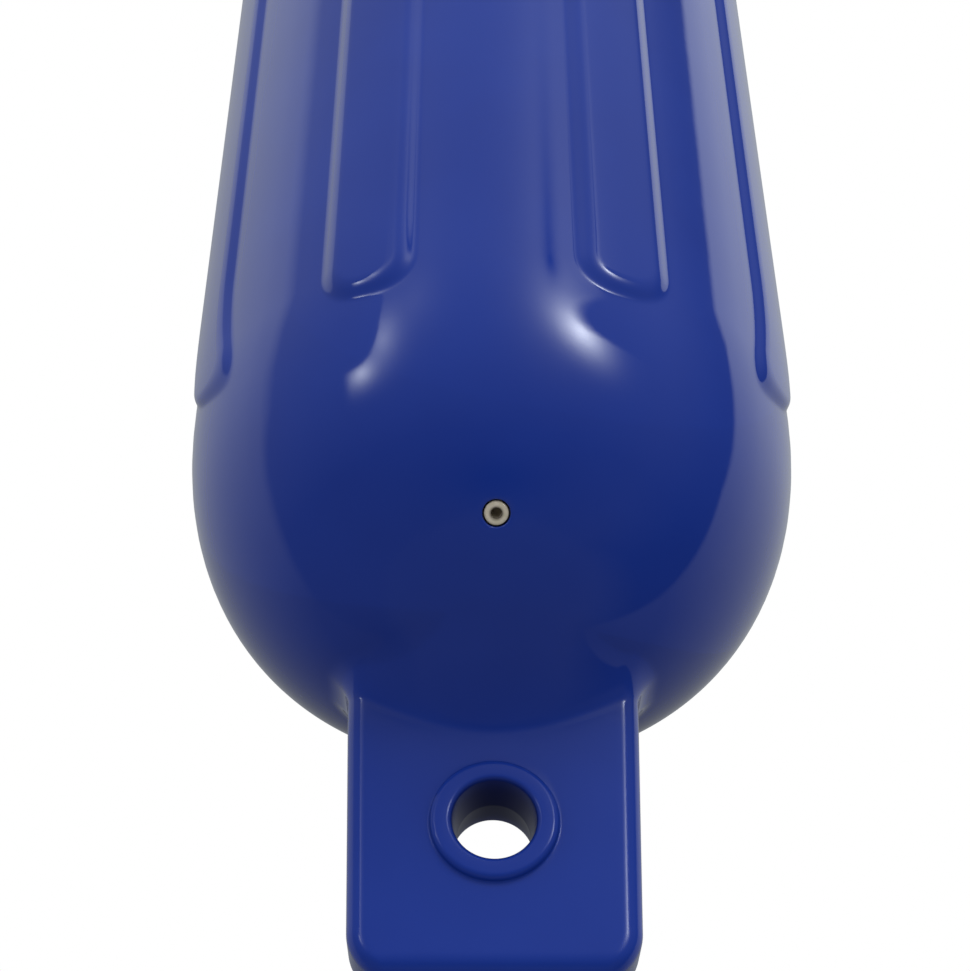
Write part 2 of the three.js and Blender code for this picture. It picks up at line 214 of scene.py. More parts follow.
# The lug's outline, with one point for each column of the dome, and the way that it faces there
LUG_LENGTH = 59.7
LUG_ROOT_HALF = 30.1
LUG_END_HALF = 27.85
LUG_HALF_THICKNESS = 8.0
LUG_EDGE = 4.0
LUG_CORNER = 9.0
ROOT_FILLET = 4.8
ROOT_FLARE = 20.0
EYE_FROM_POLE = 29.0
EYE_SQUARE = 14.3
POLE = DOME_START + DOME_DEPTH
EYE_CELLS = 12
ROOT_ROWS, NECK_ROWS, LOW_ROWS, END_ROWS = 14, 8, 5, 20


def lug_outline(half_width, half_thickness, edge):
    side_steps, arc_steps = 8, 16
    face_steps = QUARTER - side_steps - arc_steps - EYE_CELLS
    turn = np.linspace(0, pi / 2, arc_steps + 1)
    x = np.concatenate([np.full(side_steps, half_width), half_width - edge + edge * np.cos(turn),
                        np.linspace(half_width - edge, EYE_SQUARE, face_steps + 1)[1:],
                        np.linspace(EYE_SQUARE, 0, EYE_CELLS + 1)[1:]])
    y = np.concatenate([np.linspace(0, half_thickness - edge, side_steps + 1)[:-1],
                        half_thickness - edge + edge * np.sin(turn),
                        np.full(face_steps + EYE_CELLS, half_thickness)])
    facing = np.concatenate([np.zeros(side_steps), turn, np.full(face_steps + EYE_CELLS, pi / 2)])
    quarter = np.stack([x, y, np.cos(facing), np.sin(facing)], axis=-1)
    away, across = np.array([-1, 1, -1, 1]), np.array([1, -1, 1, -1])
    return np.concatenate([quarter[:-1], (quarter * away)[:0:-1],
                           (quarter * away * across)[:-1], (quarter * across)[:0:-1]])


root = lug_outline(LUG_ROOT_HALF, LUG_HALF_THICKNESS, LUG_EDGE)
tip = lug_outline(LUG_END_HALF, LUG_HALF_THICKNESS, LUG_EDGE)
facing = root[:, 2:]


def lug_side(height):
    share = np.clip((np.asarray(height) - POLE) / LUG_LENGTH, 0, 1)
    share = np.broadcast_to(share, (COLUMNS,))[:, None]
    return root[:, :2] + (tip[:, :2] - root[:, :2]) * share


# The dome's rows run from under the ribs to where the lug's root begins to spread.
VALVE_DROP = DOME_DEPTH - 15.1
VALVE_CELLS = 4
VALVE_STEP = 0.0203
ROWS_TO_VALVE, ROWS_FROM_VALVE = 14, 18
start_angle = asin(((TAIL - DOME_START) / DOME_DEPTH) ** (POLE_POWER / 2))
# The root spreads widest in the middle of each flat side, and least round the lug's narrow sides.
root_spread = ROOT_FILLET + ROOT_FLARE * (1 - (root[:, 0] / LUG_ROOT_HALF) ** 2) * facing[:, 1] ** 2
spread = root[:, :2] + facing * root_spread[:, None]
end_angle = dome_angle(np.hypot(spread[:, 0], spread[:, 1]))
end_turn = np.arctan2(spread[:, 1], spread[:, 0])
turned = (end_turn - column_turns + pi) % (2 * pi) - pi
valve_angle = asin((VALVE_DROP / DOME_DEPTH) ** (POLE_POWER / 2))
valve_share = (valve_angle - start_angle) / (end_angle[FRONT] - start_angle)
shares = np.concatenate([np.linspace(0, valve_share - VALVE_CELLS * VALVE_STEP, ROWS_TO_VALVE + 1),
                         valve_share + VALVE_STEP * np.arange(1 - VALVE_CELLS, VALVE_CELLS + 1),
                         np.linspace(valve_share + VALVE_CELLS * VALVE_STEP, 1, ROWS_FROM_VALVE + 1)[1:]])
angle = start_angle + (end_angle - start_angle) * shares[:, None]
turn = column_turns + turned * shares[:, None]
out = GROOVE_RADIUS * np.cos(angle) ** (2 / SHOULDER_POWER)
height = DOME_START + DOME_DEPTH * np.sin(angle) ** (2 / POLE_POWER)
rows = list(np.stack([out * np.cos(turn), out * np.sin(turn), -height], axis=-1))

# The root runs out of the dome and into the lug's side in one smooth bend.
ROOT_BEND = 0.56
near = 0.05
further = dome_drop(np.hypot(*(spread + facing * near).T))
nearer = dome_drop(np.hypot(*(spread - facing * near).T))
dome_end = dome_drop(np.hypot(spread[:, 0], spread[:, 1]))
crease = dome_end + (nearer - further) / (2 * near) * root_spread
lug_start = crease + ROOT_FILLET
for share in np.linspace(0, 1, ROOT_ROWS + 1)[1:]:
    weights = ((1 - share) ** 3, 3 * (1 - share) ** 2 * share, 3 * (1 - share) * share ** 2, share ** 3)
    away = (weights[0] + weights[1] * (1 - ROOT_BEND)) * root_spread[:, None]
    level = (weights[0] * dome_end + weights[1] * (dome_end + ROOT_BEND * (crease - dome_end))
             + weights[2] * (lug_start + ROOT_BEND * (crease - lug_start)) + weights[3] * lug_start)
    flank = root[:, :2] + (lug_side(lug_start) - root[:, :2]) * share
    rows.append(np.column_stack([flank + facing * away, -level]))

# The lug's flat sides, with a row of points along each edge of the square that the eye takes
eye_top = POLE + EYE_FROM_POLE - EYE_SQUARE
eye_low = POLE + EYE_FROM_POLE + EYE_SQUARE
for share in np.linspace(0, 1, NECK_ROWS + 1)[1:]:
    level = lug_start + (eye_top - lug_start) * share
    rows.append(np.column_stack([lug_side(level), -level]))
EYE_ROW = len(rows) - 1
lug_end = POLE + LUG_LENGTH
levels = np.concatenate([np.linspace(eye_top, eye_low, 2 * EYE_CELLS + 1)[1:],
                         np.linspace(eye_low, lug_end - LUG_CORNER, LOW_ROWS + 1)[1:]])
for level in levels:
    rows.append(np.column_stack([lug_side(level), np.full(COLUMNS, -level)]))


def drawn_in(radius, from_end):
    left = max(radius - from_end, 0)
    return radius - (radius ** 2 - left ** 2) ** 0.5


# The lug's rounded end, where both its width and its thickness draw in
for share in np.linspace(0, 1, END_ROWS + 1)[1:]:
    from_end = LUG_CORNER * (1 - sin(share * pi / 2))
    thin = drawn_in(LUG_EDGE, from_end)
    taper = (LUG_LENGTH - from_end) / LUG_LENGTH
    half = LUG_ROOT_HALF + (LUG_END_HALF - LUG_ROOT_HALF) * taper - drawn_in(LUG_CORNER, from_end)
    ring = lug_outline(half, LUG_HALF_THICKNESS - thin, max(LUG_EDGE - thin, 0.3))
    rows.append(np.column_stack([ring[:, :2], np.full(COLUMNS, -(lug_end - from_end))]))
rows = np.array(rows)


def window(grid, first_row, first_column, cells):
    # The points round the edge of a square of the grid, in order from one corner.
    last_row, last_column = first_row + cells, first_column + cells
    edge = [(first_row, c) for c in range(first_column, last_column)]
    edge += [(r, last_column) for r in range(first_row, last_row)]
    edge += [(last_row, c) for c in range(last_column, first_column, -1)]
    edge += [(r, first_column) for r in range(last_row, first_row, -1)]
    return np.array([grid[r, c % COLUMNS] for r, c in edge])


def rings_into(edge, centre, axis, profile, onto=None):
    # Grids of points from a square opening in to a circle, and then along a profile of (radius, depth).
    axis = Vector(axis).normalized()
    side = Vector((1, 0, 0))
    other = axis.cross(side)
    relative = edge - np.array(centre)
    bearing = np.arctan2(relative @ np.array(other), relative @ np.array(side))
    start = round(bearing[0] / (pi / 4)) * pi / 4
    way = 1 if sin(bearing[1] - bearing[0]) > 0 else -1
    bearing = start + way * 2 * pi * np.arange(len(edge)) / len(edge)
    spoke = np.cos(bearing)[:, None] * np.array(side) + np.sin(bearing)[:, None] * np.array(other)
    circles = [np.array(centre) + spoke * r + np.array(axis) * d for r, d in profile]
    if onto is not None:
        circles[0] = onto(circles[0])
    steps = [edge + (circles[0] - edge) * share for share in (0, 0.4, 0.75)]
    if onto is not None:
        steps = steps[:1] + [onto(step) for step in steps[1:]]
    grid = np.array(steps + circles)
    return np.concatenate([grid, grid[:, :1]], axis=1), circles[-1]


# Each half of the eye: the raised rim, its lip, and the bore narrowing to the waist between the two cores
RIM_FOOT, RIM_RISE, RIM_ROUND = 12.7, 1.75, 1.3
LIP_CENTRE, LIP_ROUND, WAIST = 9.5, 1.2, 7.3
foot_round = RIM_RISE - RIM_ROUND
eye_profile = [(RIM_FOOT + foot_round * (1 + cos(a)), foot_round * (1 + sin(a)))
               for a in np.linspace(1.5 * pi, pi, 5)]
eye_profile += [(RIM_FOOT - RIM_ROUND * (1 - cos(a)), foot_round + RIM_ROUND * sin(a))
                for a in np.linspace(0, pi / 2, 9)[1:]]
eye_profile += [((RIM_FOOT - RIM_ROUND + LIP_CENTRE) / 2, RIM_RISE)]
eye_profile += [(LIP_CENTRE - LIP_ROUND * sin(a), RIM_RISE - LIP_ROUND * (1 - cos(a)))
                for a in np.linspace(0, pi / 2, 8)]
mouth, mouth_depth = LIP_CENTRE - LIP_ROUND, RIM_RISE - LIP_ROUND + LUG_HALF_THICKNESS
eye_profile += [(WAIST + (mouth - WAIST) * d / mouth_depth, d - LUG_HALF_THICKNESS)
                for d in (5.6, 3, 1, 0.3, 0)]

# The valve's seat in the lower dome: a round-edged hole with a groove inside it for the valve's collar
SEAT_RADIUS, SEAT_ROUND, SEAT_LIP_DEPTH = 2.7, 0.45, 0.09
SEAT_GROOVE = 4.1
valve_height = DOME_START + VALVE_DROP
valve_slope = float(dome_radius(valve_height + 0.01) - dome_radius(valve_height - 0.01)) / 0.02
VALVE_AXIS = Vector((0, -1, valve_slope)).normalized()
VALVE_CENTRE = Vector((0, -float(dome_radius(valve_height)), -valve_height))
seat_profile = [(SEAT_RADIUS + SEAT_ROUND * (1 - sin(a)), -SEAT_LIP_DEPTH - SEAT_ROUND * (1 - cos(a)))
                for a in np.linspace(0, pi / 2, 6)]
seat_profile += [(SEAT_RADIUS, -3.5), (SEAT_GROOVE, -3.5), (SEAT_GROOVE, -5.7), (SEAT_RADIUS, -5.7),
                 (SEAT_RADIUS, -9.5)]


def onto_dome(points):
    out = dome_radius(-points[:, 2])
    share = out / np.hypot(points[:, 0], points[:, 1])
    return points * np.column_stack([share, share, np.ones(len(points))])


mesh_points, mesh_faces = [], []


def add_grid(grid, keep=None):
    first = sum(len(p) for p in mesh_points)
    high, wide = grid.shape[:2]
    number = first + np.arange(high * wide).reshape(high, wide)
    corners = np.stack([number[:-1, :-1], number[:-1, 1:], number[1:, 1:], number[1:, :-1]], axis=-1)
    picked = corners.reshape(-1, 4) if keep is None else corners[keep]
    mesh_points.append(grid.reshape(-1, 3))
    mesh_faces.extend(picked.tolist())


for end in (-1, 1):
    flip = np.array([1, 1, -end])
    for patch in patches:
        add_grid(patch * flip)
    keep = np.ones((len(rows) - 1, COLUMNS), dtype=bool)
    eye_centre = (0, 0, -(POLE + EYE_FROM_POLE))
    for column, way in ((FRONT, -1), (BACK, 1)):
        keep[EYE_ROW:EYE_ROW + 2 * EYE_CELLS, column - EYE_CELLS:column + EYE_CELLS] = False
        edge = window(rows, EYE_ROW, column - EYE_CELLS, 2 * EYE_CELLS)
        face = (0, way * LUG_HALF_THICKNESS, eye_centre[2])
        grid, _ = rings_into(edge, face, (0, way, 0), eye_profile)
        add_grid(grid * flip)
    if end == -1:
        last = ROWS_TO_VALVE + 2 * VALVE_CELLS
        keep[ROWS_TO_VALVE:last, FRONT - VALVE_CELLS:FRONT + VALVE_CELLS] = False
        edge = window(rows, ROWS_TO_VALVE, FRONT - VALVE_CELLS, 2 * VALVE_CELLS)
        grid, floor_ring = rings_into(edge, VALVE_CENTRE, VALVE_AXIS, seat_profile, onto_dome)
        add_grid(grid)
        count = sum(len(p) for p in mesh_points)
        mesh_points.append(floor_ring)
        mesh_faces.append(list(range(count, count + len(floor_ring))))
    closed = np.concatenate([rows, rows[:, :1]], axis=1) * flip
    add_grid(closed, keep)
    count = sum(len(p) for p in mesh_points)
    mesh_points.append(rows[-1] * flip)
    mesh_faces.append(list(range(count, count + COLUMNS)))

skin_mesh = bpy.data.meshes.new("fender_skin")
skin_mesh.from_pydata(np.concatenate(mesh_points) * MM, [], mesh_faces)
work = bmesh.new()
work.from_mesh(skin_mesh)
bmesh.ops.remove_doubles(work, verts=work.verts, dist=WELD)
bmesh.ops.delete(work, geom=[v for v in work.verts if not v.link_faces], context="VERTS")
bmesh.ops.recalc_face_normals(work, faces=work.faces)
work.to_mesh(skin_mesh)
work.free()
skin_mesh.shade_smooth()
fender_skin = bpy.data.objects.new("fender_skin", skin_mesh)
bpy.context.scene.collection.objects.link(fender_skin)


# Blotches and specks: what handling, dust and the mould leave on the vinyl and on the valve
blotches = bpy.data.node_groups.new("handling_marks", "ShaderNodeTree")
for name, way in (("Blotch Scale", "INPUT"), ("Speck Scale", "INPUT"),
                  ("Blotches", "OUTPUT"), ("Specks", "OUTPUT")):
    blotches.interface.new_socket(name=name, in_out=way, socket_type="NodeSocketFloat")
group_in = blotches.nodes.new("NodeGroupInput")
group_out = blotches.nodes.new("NodeGroupOutput")
place = blotches.nodes.new("ShaderNodeTexCoord")
cloud = blotches.nodes.new("ShaderNodeTexNoise")
cloud.inputs["Detail"].default_value = 3
cloud.inputs["Roughness"].default_value = 0.55
soften = blotches.nodes.new("ShaderNodeMapRange")
soften.inputs["From Min"].default_value = 0.35
soften.inputs["From Max"].default_value = 0.68
dots = blotches.nodes.new("ShaderNodeTexVoronoi")
small = blotches.nodes.new("ShaderNodeMapRange")
small.inputs["From Min"].default_value = 0.045
small.inputs["From Max"].default_value = 0.02
chosen = blotches.nodes.new("ShaderNodeSeparateColor")
rare = blotches.nodes.new("ShaderNodeMath")
rare.operation = "GREATER_THAN"
rare.inputs[1].default_value = 0.93
both = blotches.nodes.new("ShaderNodeMath")
both.operation = "MULTIPLY"
blotches.links.new(place.outputs["Object"], cloud.inputs["Vector"])
blotches.links.new(place.outputs["Object"], dots.inputs["Vector"])
blotches.links.new(group_in.outputs["Blotch Scale"], cloud.inputs["Scale"])
blotches.links.new(group_in.outputs["Speck Scale"], dots.inputs["Scale"])
blotches.links.new(cloud.outputs["Fac"], soften.inputs["Value"])
blotches.links.new(dots.outputs["Distance"], small.inputs["Value"])
blotches.links.new(dots.outputs["Color"], chosen.inputs["Color"])
blotches.links.new(chosen.outputs["Red"], rare.inputs[0])
blotches.links.new(small.outputs["Result"], both.inputs[0])
blotches.links.new(rare.outputs["Value"], both.inputs[1])
blotches.links.new(soften.outputs["Result"], group_out.inputs["Blotches"])
blotches.links.new(both.outputs["Value"], group_out.inputs["Specks"])

# The vinyl: pigmented right through, glossy from the mould, with a faint unevenness in gloss and colour
vinyl = bpy.data.materials.new("royal_blue_vinyl")
vinyl.use_nodes = True
nodes, links = vinyl.node_tree.nodes, vinyl.node_tree.links
shader = nodes["Principled BSDF"]
shader.inputs["IOR"].default_value = 1.5
marks = nodes.new("ShaderNodeGroup")
marks.node_tree = blotches
marks.inputs["Blotch Scale"].default_value = 22
marks.inputs["Speck Scale"].default_value = 170
tone = nodes.new("ShaderNodeMix")
tone.data_type = "RGBA"
tone.inputs["A"].default_value = (0.008, 0.0285, 0.222, 1)
tone.inputs["B"].default_value = (0.009, 0.032, 0.242, 1)
dusty = nodes.new("ShaderNodeMix")
dusty.data_type = "RGBA"
dusty.inputs["B"].default_value = (0.16, 0.18, 0.3, 1)
gloss = nodes.new("ShaderNodeMapRange")
gloss.inputs["To Min"].default_value = 0.035
gloss.inputs["To Max"].default_value = 0.065
place = nodes.new("ShaderNodeTexCoord")
swell = nodes.new("ShaderNodeTexNoise")
swell.inputs["Scale"].default_value = 30
swell.inputs["Detail"].default_value = 2
peel = nodes.new("ShaderNodeTexNoise")
peel.inputs["Scale"].default_value = 420
peel.inputs["Detail"].default_value = 2
swell_bump = nodes.new("ShaderNodeBump")
swell_bump.inputs["Strength"].default_value = 0.5
swell_bump.inputs["Distance"].default_value = 0.00012
peel_bump = nodes.new("ShaderNodeBump")
peel_bump.inputs["Strength"].default_value = 0.35
peel_bump.inputs["Distance"].default_value = 0.000012
links.new(marks.outputs["Blotches"], tone.inputs["Factor"])
links.new(tone.outputs["Result"], dusty.inputs["A"])
links.new(marks.outputs["Specks"], dusty.inputs["Factor"])
links.new(marks.outputs["Blotches"], gloss.inputs["Value"])
links.new(place.outputs["Object"], swell.inputs["Vector"])
links.new(place.outputs["Object"], peel.inputs["Vector"])
links.new(swell.outputs["Fac"], swell_bump.inputs["Height"])
links.new(peel.outputs["Fac"], peel_bump.inputs["Height"])
links.new(swell_bump.outputs["Normal"], peel_bump.inputs["Normal"])
links.new(peel_bump.outputs["Normal"], shader.inputs["Normal"])
# The lugs come less glossy out of the mould than the body, and their bores are duller still, with painted
# shade darkening the bores' colour.
spot = nodes.new("ShaderNodeSeparateXYZ")
upright = nodes.new("ShaderNodeMath")
upright.operation = "ABSOLUTE"
lug_part = nodes.new("ShaderNodeMapRange")
lug_part.inputs["From Min"].default_value = (POLE - 1) * MM
lug_part.inputs["From Max"].default_value = (POLE + 8) * MM
lug_part.inputs["To Max"].default_value = 0.09
shine = nodes.new("ShaderNodeMath")
shine.operation = "MULTIPLY_ADD"
shine.inputs[1].default_value = -2.4
shine.inputs[2].default_value = 0.5
satin = nodes.new("ShaderNodeMath")
satin.operation = "ADD"
fold = nodes.new("ShaderNodeCombineXYZ")
bore_reach = nodes.new("ShaderNodeVectorMath")
bore_reach.operation = "DISTANCE"
bore_reach.inputs[1].default_value = (0, (POLE + EYE_FROM_POLE) * MM, 0)
bore_part = nodes.new("ShaderNodeMapRange")
bore_part.interpolation_type = "SMOOTHSTEP"
bore_part.inputs["From Min"].default_value = 0.0093
bore_part.inputs["From Max"].default_value = 0.0078
bore_gloss = nodes.new("ShaderNodeMix")
bore_gloss.data_type = "FLOAT"
bore_gloss.inputs["B"].default_value = 0.36
bore_shine = nodes.new("ShaderNodeMix")
bore_shine.data_type = "FLOAT"
bore_shine.inputs["B"].default_value = 0.12
# Painted shade: inside the eye's bore the colour is darkened to a deep navy, standing in for the shade
# there.
bore_painted_shade = nodes.new("ShaderNodeMix")
bore_painted_shade.data_type = "RGBA"
bore_painted_shade.inputs["B"].default_value = (0.005, 0.011, 0.085, 1)
links.new(place.outputs["Object"], spot.inputs["Vector"])
links.new(spot.outputs["Z"], upright.inputs[0])
links.new(upright.outputs["Value"], lug_part.inputs["Value"])
links.new(lug_part.outputs["Result"], shine.inputs[0])
links.new(shine.outputs["Value"], bore_shine.inputs["A"])
links.new(bore_part.outputs["Result"], bore_shine.inputs["Factor"])
links.new(bore_shine.outputs["Result"], shader.inputs["Specular IOR Level"])
links.new(gloss.outputs["Result"], satin.inputs[0])
links.new(lug_part.outputs["Result"], satin.inputs[1])
links.new(spot.outputs["X"], fold.inputs["X"])
links.new(upright.outputs["Value"], fold.inputs["Y"])
links.new(fold.outputs["Vector"], bore_reach.inputs[0])
links.new(bore_reach.outputs["Value"], bore_part.inputs["Value"])
links.new(bore_part.outputs["Result"], bore_gloss.inputs["Factor"])
links.new(satin.outputs["Value"], bore_gloss.inputs["A"])
links.new(bore_gloss.outputs["Result"], shader.inputs["Roughness"])
links.new(bore_part.outputs["Result"], bore_painted_shade.inputs["Factor"])
links.new(dusty.outputs["Result"], bore_painted_shade.inputs["A"])
links.new(bore_painted_shade.outputs["Result"], shader.inputs["Base Color"])
skin_mesh.materials.append(vinyl)
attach(fender_skin, "root")
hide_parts("fender_body")


# The needle valve: a small turned plug of cream rubber, pushed into its seat in the lower dome and held
# by a collar behind the skin. A pump's needle goes through the hole in its middle.
VALVE_FACE_UNDER_SKIN = 0.2
PLUG_RADIUS, PLUG_ROUND, COLLAR_RADIUS = 2.4, 0.5, 3.8
HOLE_MOUTH, HOLE_ROUND, HOLE_RADIUS = 1.35, 0.3, 1.05
PLUG_FACETS = 72
face_edge = [(PLUG_RADIUS - PLUG_ROUND * (1 - cos(a)), -PLUG_ROUND + PLUG_ROUND * sin(a))
             for a in np.linspace(0, pi / 2, 8)]
hole_edge = [(HOLE_MOUTH - HOLE_ROUND * sin(a), -HOLE_ROUND * (1 - cos(a)))
             for a in np.linspace(0, pi / 2, 7)]
plug_profile = [(0.0, -9.0), (PLUG_RADIUS - 0.2, -9.0), (PLUG_RADIUS, -8.8), (PLUG_RADIUS, -5.2),
                (COLLAR_RADIUS, -5.2), (COLLAR_RADIUS, -3.6), (PLUG_RADIUS, -3.6), (PLUG_RADIUS, -2.0)]
plug_profile += face_edge + hole_edge + [(HOLE_RADIUS, -3.0), (HOLE_RADIUS, -6.0), (0.0, -6.0)]
plug_side = Vector((1, 0, 0))
plug_other = VALVE_AXIS.cross(plug_side)
plug_face = VALVE_CENTRE - VALVE_AXIS * VALVE_FACE_UNDER_SKIN
work = bmesh.new()
loops = []
for radius, depth in plug_profile:
    middle = plug_face + VALVE_AXIS * depth
    if radius == 0:
        loops.append([work.verts.new(middle * MM)])
        continue
    loops.append([work.verts.new((middle + (plug_side * cos(a) + plug_other * sin(a)) * radius) * MM)
                  for a in (2 * pi * k / PLUG_FACETS for k in range(PLUG_FACETS))])
for lower, upper in zip(loops, loops[1:]):
    for k in range(PLUG_FACETS):
        ring = [lower[k % len(lower)], lower[(k + 1) % len(lower)],
                upper[(k + 1) % len(upper)], upper[k % len(upper)]]
        corners = [v for n, v in enumerate(ring) if v not in ring[:n]]
        work.faces.new(corners)
bmesh.ops.recalc_face_normals(work, faces=work.faces)
plug_mesh = bpy.data.meshes.new("valve_plug")
work.to_mesh(plug_mesh)
work.free()
plug_mesh.shade_smooth()
valve_plug = bpy.data.objects.new("valve_plug", plug_mesh)
bpy.context.scene.collection.objects.link(valve_plug)

rubber = bpy.data.materials.new("cream_valve_rubber")
rubber.use_nodes = True
nodes, links = rubber.node_tree.nodes, rubber.node_tree.links
shader = nodes["Principled BSDF"]
marks = nodes.new("ShaderNodeGroup")
marks.node_tree = blotches
marks.inputs["Blotch Scale"].default_value = 900
marks.inputs["Speck Scale"].default_value = 4000
tone = nodes.new("ShaderNodeMix")
tone.data_type = "RGBA"
tone.inputs["A"].default_value = (0.49, 0.43, 0.3, 1)
tone.inputs["B"].default_value = (0.58, 0.5, 0.4, 1)
dull = nodes.new("ShaderNodeMapRange")
dull.inputs["To Min"].default_value = 0.42
dull.inputs["To Max"].default_value = 0.6
links.new(marks.outputs["Blotches"], tone.inputs["Factor"])
links.new(marks.outputs["Blotches"], dull.inputs["Value"])
# The hole's mouth and the face just round it are coloured dark brown, fading to the cream further out.
place = nodes.new("ShaderNodeTexCoord")
hole_reach = nodes.new("ShaderNodeVectorMath")
hole_reach.operation = "DISTANCE"
hole_reach.inputs[1].default_value = plug_face * MM
hole_mouth_fade = nodes.new("ShaderNodeMapRange")
hole_mouth_fade.interpolation_type = "SMOOTHSTEP"
hole_mouth_fade.inputs["From Min"].default_value = 0.00085
hole_mouth_fade.inputs["From Max"].default_value = 0.0017
hole_mouth_dark = nodes.new("ShaderNodeMix")
hole_mouth_dark.data_type = "RGBA"
hole_mouth_dark.inputs["A"].default_value = (0.018, 0.008, 0.003, 1)
links.new(place.outputs["Object"], hole_reach.inputs[0])
links.new(hole_reach.outputs["Value"], hole_mouth_fade.inputs["Value"])
links.new(hole_mouth_fade.outputs["Result"], hole_mouth_dark.inputs["Factor"])
links.new(tone.outputs["Result"], hole_mouth_dark.inputs["B"])
links.new(hole_mouth_dark.outputs["Result"], shader.inputs["Base Color"])
links.new(dull.outputs["Result"], shader.inputs["Roughness"])
plug_mesh.materials.append(rubber)
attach(valve_plug, "root")
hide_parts("needle_valve")


# The studio: a pale floor below the hanging fender, white wherever the camera sees past it, and even soft
# light. The gloss mirrors a room: white paper behind, a dim ceiling and two soft lamps, left and right.
FLOOR_HALF, FLOOR_HEIGHT = 4.0, -0.46
floor_mesh = bpy.data.meshes.new("studio_floor")
floor_corners = [(x * FLOOR_HALF, y * FLOOR_HALF, FLOOR_HEIGHT)
                 for x, y in ((-1, -1), (1, -1), (1, 1), (-1, 1))]
floor_mesh.from_pydata(floor_corners, [], [(0, 1, 2, 3)])
studio_floor = bpy.data.objects.new("studio_floor", floor_mesh)
bpy.context.scene.collection.objects.link(studio_floor)
pale = bpy.data.materials.new("pale_floor")
pale.use_nodes = True
nodes, links = pale.node_tree.nodes, pale.node_tree.links
shader = nodes["Principled BSDF"]
shader.inputs["Base Color"].default_value = (0.8, 0.8, 0.8, 1)
shader.inputs["Roughness"].default_value = 0.7
# Seen from below, the floor is clear, so that it doesn't hide the fender.
below_floor = nodes.new("ShaderNodeNewGeometry")
clear_view = nodes.new("ShaderNodeBsdfTransparent")
one_sided = nodes.new("ShaderNodeMixShader")
links.new(below_floor.outputs["Backfacing"], one_sided.inputs[0])
links.new(shader.outputs["BSDF"], one_sided.inputs[1])
links.new(clear_view.outputs["BSDF"], one_sided.inputs[2])
links.new(one_sided.outputs["Shader"], nodes["Material Output"].inputs["Surface"])
floor_mesh.materials.append(pale)
studio_floor.visible_glossy = False
studio_floor.visible_diffuse = False

world = bpy.data.worlds.new("studio")
bpy.context.scene.world = world
world.use_nodes = True
nodes, links = world.node_tree.nodes, world.node_tree.links
nodes.clear()
direction = nodes.new("ShaderNodeTexCoord")
parts = nodes.new("ShaderNodeSeparateXYZ")
links.new(direction.outputs["Generated"], parts.inputs["Vector"])


def world_math(operation, first, second=None):
    node = nodes.new("ShaderNodeMath")
    node.operation = operation
    for socket, value in zip(node.inputs, (first, second)):
        if isinstance(value, (int, float)):
            socket.default_value = value
        elif value is not None:
            links.new(value, socket)
    return node.outputs["Value"]


def world_ramp(value, low, high, dark, bright):
    node = nodes.new("ShaderNodeMapRange")
    node.interpolation_type = "SMOOTHSTEP"
    links.new(value, node.inputs["Value"])
    for name, number in (("From Min", low), ("From Max", high), ("To Min", dark), ("To Max", bright)):
        node.inputs[name].default_value = number
    return node.outputs["Result"]


def world_slope(value, low, high, dark, bright):
    result = world_ramp(value, low, high, dark, bright)
    result.node.interpolation_type = "LINEAR"
    return result


def world_add(first, second):
    return world_math("ADD", first, second)


# Directions in the room: the azimuth is 0 straight in front, and positive to the right.
depth, upward = parts.outputs["Y"], parts.outputs["Z"]
toward = world_math("MULTIPLY", depth, -1)
azimuth = world_math("ARCTAN2", parts.outputs["X"], toward)
elevation = world_math("ARCSINE", upward)


# Bearings, rises, widths, heights and leans below are in degrees.
def offset_from(bearing, rise, width, height, lean=0):
    # How far a direction is from a place in the room, along two leaning axes, as shares of its size.
    x = world_math("SUBTRACT", azimuth, radians(bearing))
    y = world_math("SUBTRACT", elevation, radians(rise))
    c, s = cos(radians(lean)), sin(radians(lean))
    along = world_add(world_math("MULTIPLY", x, c), world_math("MULTIPLY", y, s))
    up = world_add(world_math("MULTIPLY", x, -s), world_math("MULTIPLY", y, c))
    along = world_math("MULTIPLY", along, 1 / radians(width))
    return along, world_math("MULTIPLY", up, 1 / radians(height))


def glow(bearing, rise, width, height, strength, lean=0):
    x, y = offset_from(bearing, rise, width, height, lean)
    squares = world_add(world_math("MULTIPLY", x, x), world_math("MULTIPLY", y, y))
    fading = world_math("MULTIPLY", world_math("POWER", squares, 0.75), -1)
    return world_math("MULTIPLY", world_math("EXPONENT", fading), strength)


def lamp_back(bearing, rise, width, height, squareness):
    # 0 where the dark back of a lamp's head hides the glow behind it, and 1 elsewhere
    x, y = offset_from(bearing, rise, width, height)
    total = world_add(world_math("POWER", world_math("ABSOLUTE", x), squareness),
                      world_math("POWER", world_math("ABSOLUTE", y), squareness))
    return world_ramp(total, 0.86, 1.14, 0, 1)


# White paper behind, mirrored along the skin's sides. Its edges draw back low down, and it is dimmer
# towards its foot and its middle.
below = world_math("MAXIMUM", world_math("MULTIPLY", upward, -1), 0)
below = world_math("POWER", below, 1.4)
above = world_slope(upward, 0, 0.3, 0, 0.11)
right_edge = world_math("SUBTRACT", depth, world_math("MULTIPLY", below, 0.45))
left_edge = world_add(world_math("SUBTRACT", depth, world_math("MULTIPLY", below, 0.65)), above)
right_half = world_ramp(azimuth, 0, 0.01, 0, 1)
left_half = world_ramp(azimuth, 0, -0.01, 0, 1)
right = world_math("MULTIPLY", right_half, world_ramp(right_edge, 0.04, 0.1, 0, 1))
right = world_math("MULTIPLY", right, world_slope(azimuth, radians(112), radians(170), 1, 0.3))
left = world_math("MULTIPLY", left_half, world_ramp(left_edge, -0.1, 0.11, 0, 1))
left = world_math("MULTIPLY", left, world_slope(azimuth, radians(-170), radians(-100), 0.3, 0.88))
paper = world_slope(elevation, radians(-36), radians(30), 0.23, 1.05)
behind = world_math("MULTIPLY", world_math("MAXIMUM", right, left), paper)

